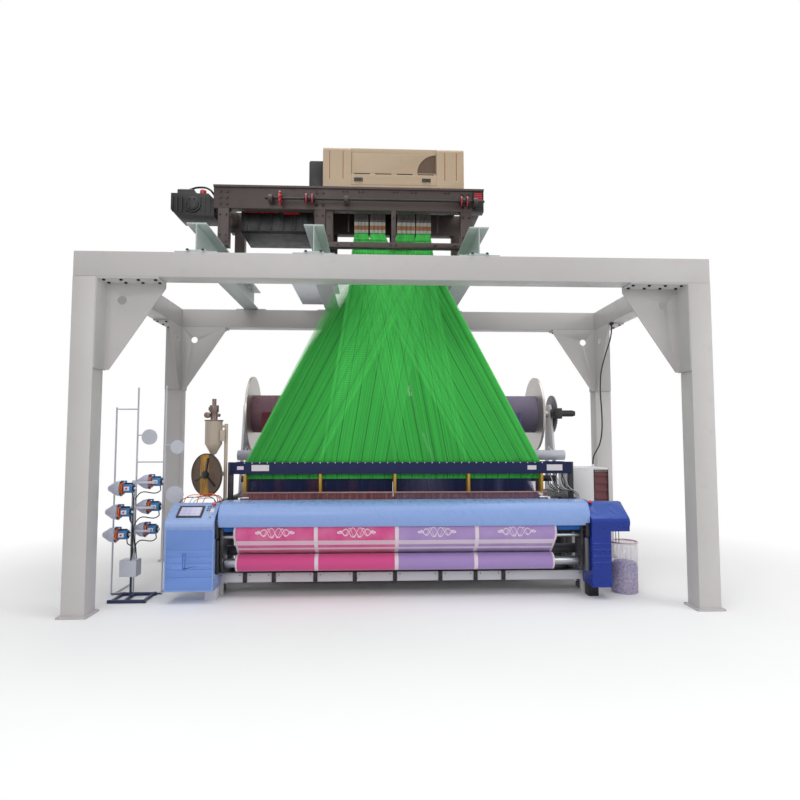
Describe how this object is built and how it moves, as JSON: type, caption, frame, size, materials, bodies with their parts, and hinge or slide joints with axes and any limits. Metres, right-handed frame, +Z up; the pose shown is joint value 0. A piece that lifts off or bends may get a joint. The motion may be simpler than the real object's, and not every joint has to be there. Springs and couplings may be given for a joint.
{
  "type": "power loom",
  "caption": "Wide air-jet terry loom with jacquard head on a steel gantry: harness, reed, warp beams, cloth roll, cabinets, weft feeders and waste bin.",
  "frame": {"origin": "on the floor, at the middle of the gantry", "axes": "+X along the loom to the weaver's right, +Y to the back, +Z up"},
  "size_m": [6.46, 2.89, 5.005],
  "materials": {
    "gantry_paint": "satin",
    "bolt_steel": "dull",
    "platform_paint": "satin",
    "jacquard_paint": "satin",
    "dark_steel": "satin",
    "drive_paint": "satin",
    "hood_paint": "satin",
    "module_plastic": "matt",
    "harness_cord": "matt",
    "rail_aluminium": "satin",
    "heddle_wire": "satin",
    "spring_steel": "satin",
    "frame_paint": "satin",
    "sley_steel": "satin",
    "reed_steel": "satin",
    "cover_paint": "satin",
    "deep_blue_paint": "satin",
    "cabinet_paint": "satin",
    "panel_black": "gloss",
    "stop_red": "gloss",
    "key_plastic": "gloss",
    "cloth_cotton": "matt",
    "roller_rubber": "matt",
    "beam_steel": "satin",
    "warp_cotton": "matt",
    "filter_metal": "satin",
    "reel_plate": "matt",
    "feeder_plastic": "satin",
    "feeder_ring": "satin",
    "stand_steel": "satin",
    "bin_clear": "gloss",
    "waste_yarn": "matt",
    "cable_sheath": "matt"
  },
  "bodies": {
    "loom": {"gantry_columns": "gantry_paint", "gantry_beams": "gantry_paint", "corner_brackets": "gantry_paint", "gantry_bolts": "bolt_steel", "platform_beams": "platform_paint", "service_walkway": "platform_paint", "jacquard_frame": "jacquard_paint", "drive_gearbox": "drive_paint", "drive_housing": "drive_paint", "jacquard_hood": "hood_paint", "jacquard_side_box": "drive_paint", "hook_modules": "module_plastic", "harness_cords": "harness_cord", "comber_frame": "rail_aluminium", "heddle_bank": "heddle_wire", "heddle_dividers": "rail_aluminium", "return_springs": "spring_steel", "side_frame_left": "frame_paint", "side_frame_right": "frame_paint", "cross_members": "sley_steel", "front_base_beam": "rail_aluminium", "temples": "dark_steel", "breast_cover": "cover_paint", "left_cabinet": "cover_paint", "control_panel": "panel_black", "right_cover": "deep_blue_paint", "cloth": "cloth_cotton", "warp_sheet": "warp_cotton", "beam_stands": "frame_paint", "let_off_motors": "drive_paint", "electrical_cabinet": "cabinet_paint", "filter_unit": "filter_metal", "feeder_stand": "stand_steel", "feeder_bodies": "feeder_plastic", "waste_bin": "bin_clear", "bin_waste": "waste_yarn", "supply_cable": "cable_sheath"},
    "drive_shaft": {"jacquard_drive_shaft": "dark_steel"},
    "hood_panel": {"hood_door": "hood_paint"},
    "sley_unit": {"sley": "sley_steel", "reed": "reed_steel"},
    "left_door": {"left_cabinet_door": "cover_paint"},
    "electric_door": {"electrical_cabinet_door": "cabinet_paint"},
    "stop_left": {"stop_button_left": "stop_red"},
    "stop_right": {"stop_button_right": "stop_red"},
    "start_key": {"start_button": "key_plastic"},
    "jog_key": {"jog_button": "key_plastic"},
    "cloth_winder": {"cloth_roll": "cloth_cotton"},
    "take_up": {"take_up_roller": "roller_rubber"},
    "pile_warp_beam": {"pile_beam": "beam_steel", "pile_warp": "warp_cotton"},
    "ground_warp_beam": {"ground_beam": "beam_steel"},
    "back_roll": {"tension_roll": "sley_steel"},
    "selvedge_winder": {"selvedge_reel": "reel_plate"},
    "winding_disc_1": {"feeder_disc_1": "feeder_ring"},
    "winding_disc_2": {"feeder_disc_2": "feeder_ring"},
    "winding_disc_3": {"feeder_disc_3": "feeder_ring"},
    "winding_disc_4": {"feeder_disc_4": "feeder_ring"},
    "winding_disc_5": {"feeder_disc_5": "feeder_ring"},
    "winding_disc_6": {"feeder_disc_6": "feeder_ring"}
  },
  "joints": [
    {"name": "drive_shaft_spin", "type": "hinge", "parent": "loom", "child": "drive_shaft", "pos_m": [0, -0.8, 4.362], "axis": [1, 0, 0], "continuous": true},
    {"name": "hood_panel_hinge", "type": "hinge", "parent": "loom", "child": "hood_panel", "pos_m": [0, -0.704, 4.9494], "axis": [-1, 0, 0], "range_deg": [0, 80]},
    {"name": "sley_swing", "type": "hinge", "parent": "loom", "child": "sley_unit", "pos_m": [0, -0.47, 0.45], "axis": [-1, 0, 0], "range_deg": [0, 10]},
    {"name": "left_door_hinge", "type": "hinge", "parent": "loom", "child": "left_door", "pos_m": [-2.3744, -1.004, 0.45], "axis": [0, 0, -1], "range_deg": [0, 110]},
    {"name": "electric_door_hinge", "type": "hinge", "parent": "loom", "child": "electric_door", "pos_m": [2.2256, 0.097, 0.7], "axis": [0, 0, -1], "range_deg": [0, 95]},
    {"name": "stop_left_press", "type": "slide", "parent": "loom", "child": "stop_left", "axis": [0, 0.5487, -0.836], "range_m": [0, 0.005], "stiffness_N_per_m": 800, "springref_m": -0.005},
    {"name": "stop_right_press", "type": "slide", "parent": "loom", "child": "stop_right", "axis": [0, 0.5487, -0.836], "range_m": [0, 0.005], "stiffness_N_per_m": 800, "springref_m": -0.005},
    {"name": "start_press", "type": "slide", "parent": "loom", "child": "start_key", "axis": [0, 0.5487, -0.836], "range_m": [0, 0.003], "stiffness_N_per_m": 400, "springref_m": -0.003},
    {"name": "jog_press", "type": "slide", "parent": "loom", "child": "jog_key", "axis": [0, 0.5487, -0.836], "range_m": [0, 0.003], "stiffness_N_per_m": 400, "springref_m": -0.003},
    {"name": "cloth_roll_spin", "type": "hinge", "parent": "loom", "child": "cloth_winder", "pos_m": [0, -0.8, 0.38], "axis": [1, 0, 0], "continuous": true},
    {"name": "take_up_spin", "type": "hinge", "parent": "loom", "child": "take_up", "pos_m": [0, -0.85, 0.76], "axis": [1, 0, 0], "continuous": true},
    {"name": "pile_beam_spin", "type": "hinge", "parent": "loom", "child": "pile_warp_beam", "pos_m": [0, 0.75, 2.03], "axis": [1, 0, 0], "continuous": true},
    {"name": "ground_beam_spin", "type": "hinge", "parent": "loom", "child": "ground_warp_beam", "pos_m": [0, 0.76, 0.56], "axis": [1, 0, 0], "continuous": true},
    {"name": "back_roll_rock", "type": "hinge", "parent": "loom", "child": "back_roll", "pos_m": [0, 0.62, 1.56], "axis": [1, 0, 0], "range_deg": [-4, 4], "stiffness_Nm_per_rad": 60000, "springref_deg": -0.29, "deforming": ["warp_sheet"]},
    {"name": "selvedge_reel_spin", "type": "hinge", "parent": "loom", "child": "selvedge_winder", "pos_m": [-2.13, -0.45, 1.292], "axis": [-0.5299, -0.848, 0], "continuous": true},
    {"name": "feeder_1_spin", "type": "hinge", "parent": "loom", "child": "winding_disc_1", "pos_m": [-2.895, -0.83, 1.173], "axis": [1, 0, 0], "continuous": true},
    {"name": "feeder_2_spin", "type": "hinge", "parent": "loom", "child": "winding_disc_2", "pos_m": [-2.683, -0.61, 1.227], "axis": [1, 0, 0], "continuous": true},
    {"name": "feeder_3_spin", "type": "hinge", "parent": "loom", "child": "winding_disc_3", "pos_m": [-2.917, -0.83, 0.926], "axis": [1, 0, 0], "continuous": true},
    {"name": "feeder_4_spin", "type": "hinge", "parent": "loom", "child": "winding_disc_4", "pos_m": [-2.692, -0.61, 0.957], "axis": [1, 0, 0], "continuous": true},
    {"name": "feeder_5_spin", "type": "hinge", "parent": "loom", "child": "winding_disc_5", "pos_m": [-2.937, -0.83, 0.69], "axis": [1, 0, 0], "continuous": true},
    {"name": "feeder_6_spin", "type": "hinge", "parent": "loom", "child": "winding_disc_6", "pos_m": [-2.717, -0.61, 0.71], "axis": [1, 0, 0], "continuous": true}
  ]
}
